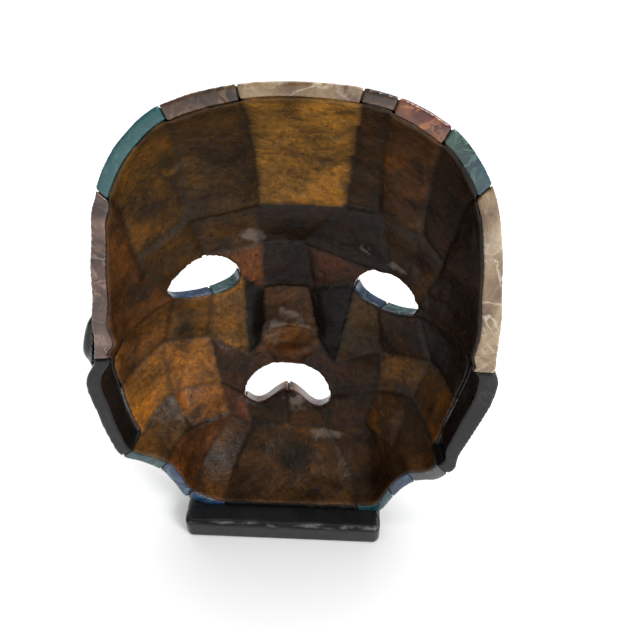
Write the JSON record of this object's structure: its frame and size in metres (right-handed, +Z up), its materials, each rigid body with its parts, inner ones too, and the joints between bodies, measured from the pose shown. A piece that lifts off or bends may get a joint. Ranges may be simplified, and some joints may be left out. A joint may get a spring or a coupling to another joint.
{
  "type": "stone mosaic mask",
  "caption": "Hollow face mask of cut stones glued edge to edge, lacquered inside, with open eyes and mouth, ears and a flat stone plinth.",
  "frame": {"origin": "middle of the plinth's underside", "axes": "+Z up out of the plinth, the face looks toward -Y, the hollow back opens toward +Y, +X is the mask's own left"},
  "size_m": [0.1704, 0.0883, 0.2226],
  "materials": {
    "cream_onyx": "polished",
    "pink_marble": "polished",
    "turquoise": "polished",
    "blue_azurite": "polished",
    "brown_jasper": "polished",
    "red_jasper": "polished",
    "green_serpentine": "polished",
    "black_obsidian": "polished",
    "grey_marble": "polished",
    "brown_lacquer": "gloss",
    "black_plinth_stone": "polished"
  },
  "bodies": {
    "root": {"brow_centre": "green_serpentine", "chin_centre": "black_obsidian", "forehead_centre": "cream_onyx", "lacquer_lining": "brown_lacquer", "left_brow_inner": "black_obsidian", "left_brow_outer": "black_obsidian", "left_cheek": "pink_marble", "left_chin_side": "blue_azurite", "left_ear_band": "black_obsidian", "left_ear_lobe": "blue_azurite", "left_ear_upper": "black_obsidian", "left_eye_corner": "turquoise", "left_forehead_inner": "brown_jasper", "left_forehead_outer": "turquoise", "left_jaw": "blue_azurite", "left_jaw_corner": "turquoise", "left_jaw_inner": "green_serpentine", "left_lower_cheek": "cream_onyx", "left_lower_lip": "red_jasper", "left_mouth_side": "green_serpentine", "left_nose_side": "cream_onyx", "left_side_lower": "grey_marble", "left_side_upper": "black_obsidian", "left_temple": "pink_marble", "left_under_eye_inner": "turquoise", "left_under_eye_outer": "blue_azurite", "left_upper_lip": "red_jasper", "nose_bridge": "red_jasper", "nose_tip": "red_jasper", "nose_underside": "red_jasper", "plinth": "black_plinth_stone", "right_brow_inner": "black_obsidian", "right_brow_outer": "black_obsidian", "right_cheek": "brown_jasper", "right_chin_side": "turquoise", "right_ear_band": "black_obsidian", "right_ear_lobe": "blue_azurite", "right_ear_upper": "cream_onyx", "right_eye_corner": "turquoise", "right_forehead_inner": "red_jasper", "right_forehead_outer": "green_serpentine", "right_forehead_strip": "brown_jasper", "right_jaw": "blue_azurite", "right_jaw_corner": "grey_marble", "right_jaw_inner": "cream_onyx", "right_lower_cheek": "brown_jasper", "right_lower_lip": "red_jasper", "right_mouth_side": "green_serpentine", "right_nose_side": "pink_marble", "right_side_lower": "grey_marble", "right_side_upper": "black_obsidian", "right_temple": "cream_onyx", "right_under_eye_inner": "blue_azurite", "right_under_eye_outer": "turquoise", "right_upper_lip": "red_jasper", "upper_lip_centre": "red_jasper"}
  },
  "joints": []
}
